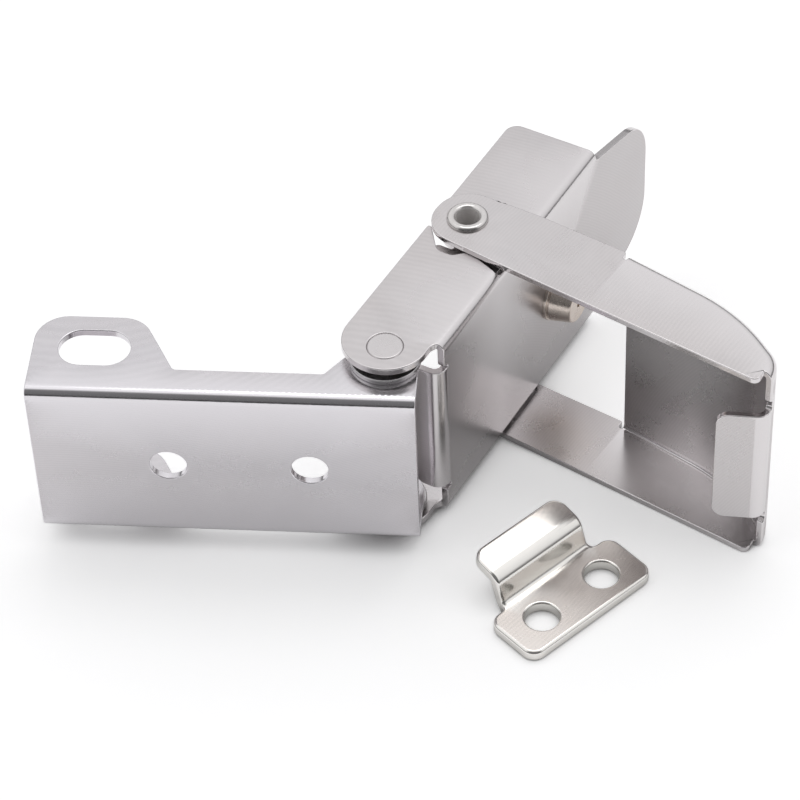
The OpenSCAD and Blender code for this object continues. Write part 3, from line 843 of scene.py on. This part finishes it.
def build_keeper():
    """The keeper: a flat foot with two holes, a riser and a lip that reaches away from the foot."""
    stretches, end = keeper_profile()
    wide, deep, narrow = KEEPER_HALF, KEEPER_DEPTH, KEEPER_LIP_HALF
    outline = rounded([(-wide, -deep, 2.8), (wide, -deep, 2.8), (wide, deep, 2.6),
                       (narrow, deep, 1.4), (narrow, end, 2.8), (-narrow, end, 2.8),
                       (-narrow, deep, 1.4), (-wide, deep, 2.6)])[0]
    outline = subdivide(outline, lambda p: 0.25 if KEEPER_FOOT_Y - 0.4 < p[1] < end - 3 else 1.0)
    holes = [circle(x, 0, KEEPER_HOLE_R) for x in (-KEEPER_HOLE_X, KEEPER_HOLE_X)]
    bends = [stretches[0][0] + stretches[0][1] * k / 8 for k in range(-1, 10)]
    bends += [stretches[2][0] + stretches[2][1] * k / 12 for k in range(-1, 14)]
    blank, tris = fill(outline, holes, rows(-15, 15, 0.6, bends), 0.9)
    points, normals = [], []
    for x, v in blank:
        if v <= KEEPER_FOOT_Y:
            spot, heading = np.array([v, 0.0]), 0.0
        else:
            s = [s for s in stretches if s[0] <= v][-1]
            spot, heading = along(s, v - s[0])
        points.append((x, spot[0], spot[1]))
        normals.append((0, -math.sin(heading), math.cos(heading)))
    points, normals = np.array(points), np.array(normals)
    points, normals = place(points, normals, KEEPER_ANGLE, *KEEPER_PLACE)
    points[:, 2] += keeper_low[2] + KEEPER_SHEET
    in_hole = [math.hypot(abs(x) - KEEPER_HOLE_X, v) < KEEPER_HOLE_R + 0.3 for x, v in blank]
    edge = np.where(in_hole, 0.45, 0.7)
    return thicken(points, normals, tris, KEEPER_SHEET, edge, 6)


make_object("keeper_plate_bent", *build_keeper(), "keeper_plate", "keeper", "keeper_steel",
            keeper_steel)


# ---------------------------------------------------------------- turned pieces

def stand(mesh, x, y, z=0.0, flip=False):
    """Moves a turned mesh; flip turns it over about x first."""
    verts, faces, normals, polish_and_highlight = mesh
    if flip:
        verts, normals = verts * (1, -1, -1), normals * (1, -1, -1)
    return verts + np.array([x, y, z]), faces, normals, polish_and_highlight


pin = turned([(0, -lever_half, 0), (PIN_R, -lever_half, 0.35), (PIN_R, lever_half, 0.35),
              (0, lever_half, 0)], 72, True)
make_object("main_pivot_pin_turned", *stand(pin, *pivot), "main_pivot_pin", "lever",
            "pin_steel", pin_steel)

washer = turned([(PIN_R + RUNNING_GAP, 0, 0.15), (6.7, 0, 0.25), (6.7, 1.0, 0.25),
                 (PIN_R + RUNNING_GAP, 1.0, 0.15)])
make_object("upper_pivot_washer_ring", *stand(washer, *pivot, base_half), "upper_pivot_washer",
            "base", "washer_steel", washer_steel)
make_object("lower_pivot_washer_ring", *stand(washer, *pivot, -base_half, True),
            "lower_pivot_washer", "base", "washer_steel", washer_steel)

arm_face = bail_half - 0.15
arm_seat = bail_half - BAIL_SHEET
half_tube = [(AXLE_R, arm_seat, 0.05), (AXLE_NECK, arm_seat, 0.03), (AXLE_NECK, arm_face, 0.03),
             (4.0, arm_face, 0.2), (4.0, tube_top, 0.68), (TUBE_BORE_R, tube_top, 0.66)]
tube = turned([(r, -z, f) for r, z, f in reversed(half_tube)] + half_tube, 96)
make_object("bail_axle_tube_turned", *stand(tube, *link), "bail_axle_tube", "bail",
            "tube_steel", tube_steel)

stud_tail = -SHEET - 1.0
stud_verts, stud_faces, stud_normals, stud_polish_and_highlight = turned([
    (0, stud_tail, 0), (3.2, stud_tail, 0.4), (3.2, -SHEET, 0.05), (STUD_TAIL_R, -SHEET, 0.02),
    (STUD_TAIL_R, 0, 0.02), (5.3, 0, 0.1), (5.3, 0.7, 0.2), (4.9, 0.75, 0.1), (4.9, 1.05, 0.1),
    (5.1, 1.15, 0.15), (4.1, 5.5, 0.45), (0.9, 5.5, 0.15), (0.9, 4.3, 0.05), (0, 4.3, 0)], 72, True)
lay = np.array([[1, 0, 0], [0, 0, 1], [0, -1, 0]], float)  # the stud's z becomes -y
stud_verts = stud_verts @ lay + np.array([STUD_X, WALL_Y, STUD_Z])
stud_verts, stud_normals = place(stud_verts, stud_normals @ lay, LEVER_ANGLE, *pivot)
make_object("cone_stud_turned", stud_verts, stud_faces, stud_normals, stud_polish_and_highlight, "cone_stud",
            "lever", "stud_steel", stud_steel)


# ---------------------------------------------------------------- stage, light and camera

FLOOR_Z = keeper_low[2] * MM
FLOOR_SIZE = 3.0
FLOOR_GLOW = 0.38  # painted light: the glow the floor adds towards the camera
FLOOR_BOUNCE = 0.19  # and the painted glow it adds towards the metal
NEAR, FAR = 0.015, 0.05  # reaches, in metres, over which the floor counts as covered
DOME = ((0.0, 0.10), (0.12, 0.16), (0.34, 0.72), (0.70, 0.86), (1.0, 1.0))  # (height, level)
ROOM = 0.2  # how bright the unlit room behind the camera is, against the dome
ROOM_SIDE = (0.08, -0.86, 0.50)


def build_floor():
    """A pale sheet with a painted glow where it is open, and a painted shade that darkens its colour
    where it is covered.
    """
    mesh = bpy.data.meshes.new("floor")
    mesh.from_pydata([(x * FLOOR_SIZE, y * FLOOR_SIZE, FLOOR_Z)
                      for x, y in ((-1, -1), (1, -1), (1, 1), (-1, 1))], [], [(0, 1, 2, 3)])
    material = bpy.data.materials.new("floor_white")
    material.use_nodes = True
    n = Nodes(material.node_tree)
    n.tree.nodes.clear()

    def openness(reach, covered, clear, low, high):
        """How open the floor is within a reach: low where covered, high where clear."""
        near = n.add("ShaderNodeAmbientOcclusion", Distance=reach).outputs["AO"]
        return n.ranged(near, low, high, covered, clear)

    # painted light: the floor glows towards the camera only where it is open
    glow = n.add("ShaderNodeEmission", Strength=openness(NEAR, 0.25, 0.6, 0.0, FLOOR_GLOW))
    seen = n.add("ShaderNodeBsdfDiffuse", Color=(0.95, 0.95, 0.95, 1))
    # painted shade: the floor's colour, as the metal sees it, darkens where the floor is covered
    level = openness(FAR, 0.25, 0.9, 0.40, 0.98)
    shade = n.add("ShaderNodeCombineColor", Red=level, Green=level, Blue=level)
    reflected = n.add("ShaderNodeBsdfDiffuse", Color=shade.outputs[0])
    # painted light: the open floor also glows towards the metal
    bounce = n.add("ShaderNodeEmission", Strength=openness(FAR, 0.1, 0.8, 0.0, FLOOR_BOUNCE))
    to_metal = n.join("ShaderNodeAddShader", reflected.outputs[0], bounce.outputs[0])
    to_camera = n.join("ShaderNodeAddShader", seen.outputs[0], glow.outputs[0])
    is_camera = n.add("ShaderNodeLightPath").outputs["Is Camera Ray"]
    either = n.join("ShaderNodeMixShader", is_camera, to_metal.outputs[0], to_camera.outputs[0])
    n.add("ShaderNodeOutputMaterial", Surface=either.outputs[0])
    mesh.materials.append(material)
    floor = bpy.data.objects.new("floor", mesh)
    bpy.context.scene.collection.objects.link(floor)


def build_world():
    """A pale studio dome: dark at the horizon and behind the camera, bright above."""
    world = bpy.data.worlds.new("studio")
    bpy.context.scene.world = world
    world.use_nodes = True
    n = Nodes(world.node_tree)
    direction = n.add("ShaderNodeTexCoord").outputs["Generated"]
    height = n.add("ShaderNodeSeparateXYZ", Vector=direction).outputs["Z"]
    ramp = n.add("ShaderNodeValToRGB", Fac=height)
    stops = ramp.color_ramp.elements
    for at, level in DOME[1:-1]:
        stops.new(at)
    for stop, (at, level) in zip(stops, DOME):
        stop.position = at
        stop.color = (level, level, level * 1.01, 1)
    behind = n.join("ShaderNodeVectorMath", direction, ROOM_SIDE, operation="DOT_PRODUCT")
    background = n.tree.nodes["Background"]
    n.give(background.inputs["Color"], ramp.outputs["Color"])
    n.give(background.inputs["Strength"], n.ranged(behind.outputs["Value"], 1.0, ROOM, 0.58, 0.80))


def area_light(name, where, target, width, height, watts):
    """A soft rectangular light aimed at a point; places are in metres."""
    data = bpy.data.lights.new(name, "AREA")
    data.shape = "RECTANGLE"
    data.size, data.size_y = width, height
    data.energy = watts
    light = bpy.data.objects.new(name, data)
    light.location = where
    light.rotation_mode = "QUATERNION"
    light.rotation_quaternion = (Vector(target) - Vector(where)).to_track_quat("-Z", "Y")
    bpy.context.scene.collection.objects.link(light)


CAMERA_LENS, SENSOR = 151.713, 36  # focal length and film width, mm
CAMERA_PITCH = math.radians(45.575)
CAMERA_ROLL = math.radians(-2.537)
CAMERA_YAW = math.radians(-6.149)
CAMERA_OFFSET = np.array([3.256, 13.7207, 624.77])  # the base's end in the camera's axes, mm


def build_camera():
    """The camera's axes (right, down, forward) and place, set by its pitch, roll and yaw."""
    cp, sp = math.cos(CAMERA_PITCH), math.sin(CAMERA_PITCH)
    cr, sr = math.cos(CAMERA_ROLL), math.sin(CAMERA_ROLL)
    cy, sy = math.cos(CAMERA_YAW), math.sin(CAMERA_YAW)
    turn = np.array([[cy, -sy, 0], [sy, cy, 0], [0, 0, 1]])
    tilt = np.array([[1, 0, 0], [0, -sp, -cp], [0, cp, -sp]])
    lean = np.array([[cr, -sr, 0], [sr, cr, 0], [0, 0, 1]])
    axes = lean @ tilt @ turn
    spot = np.array([base_right, 0, 0]) - axes.T @ CAMERA_OFFSET
    data = bpy.data.cameras.new("camera")
    data.sensor_width = SENSOR
    data.lens = CAMERA_LENS
    data.clip_start, data.clip_end = 0.05, 10
    camera = bpy.data.objects.new("camera", data)
    m = Matrix.Identity(4)
    for row in range(3):
        m[row][0], m[row][1], m[row][2] = axes[0][row], -axes[1][row], -axes[2][row]
        m[row][3] = spot[row] * MM
    camera.matrix_world = m
    bpy.context.scene.collection.objects.link(camera)
    bpy.context.scene.camera = camera


build_floor()
build_world()
area_light("overhead", (0.1, 0.35, 0.9), (0.03, 0.03, 0), 0.5, 0.35, 0.7)
build_camera()
bpy.context.scene.view_settings.view_transform = "Standard"
